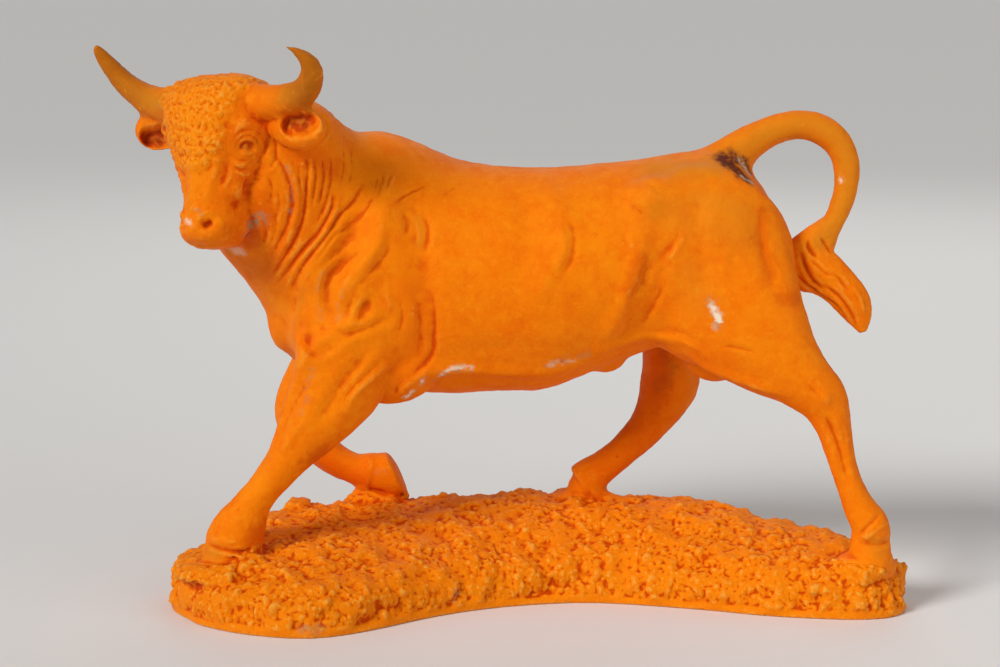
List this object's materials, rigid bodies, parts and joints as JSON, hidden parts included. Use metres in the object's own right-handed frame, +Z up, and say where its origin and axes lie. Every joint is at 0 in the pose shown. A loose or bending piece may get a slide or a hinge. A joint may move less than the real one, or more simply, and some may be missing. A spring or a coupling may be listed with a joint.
{
  "type": "bull sculpture",
  "caption": "Cast figure of a striding bull on rocky ground, head turned to its left and tail curled up over its back; stands on its flat underside.",
  "frame": {"origin": "centre of the bounding box in plan, on the flat underside of the ground", "axes": "+Z up, +X from the head towards the tail, so the bull walks towards -X and its left flank faces -Y"},
  "size_m": [0.5425, 0.1936, 0.38],
  "materials": {
    "orange_paint": "matt orange paint over a cast figure, worn pale on the ridges"
  },
  "bodies": {
    "root": {"bull": "orange_paint"}
  },
  "joints": []
}
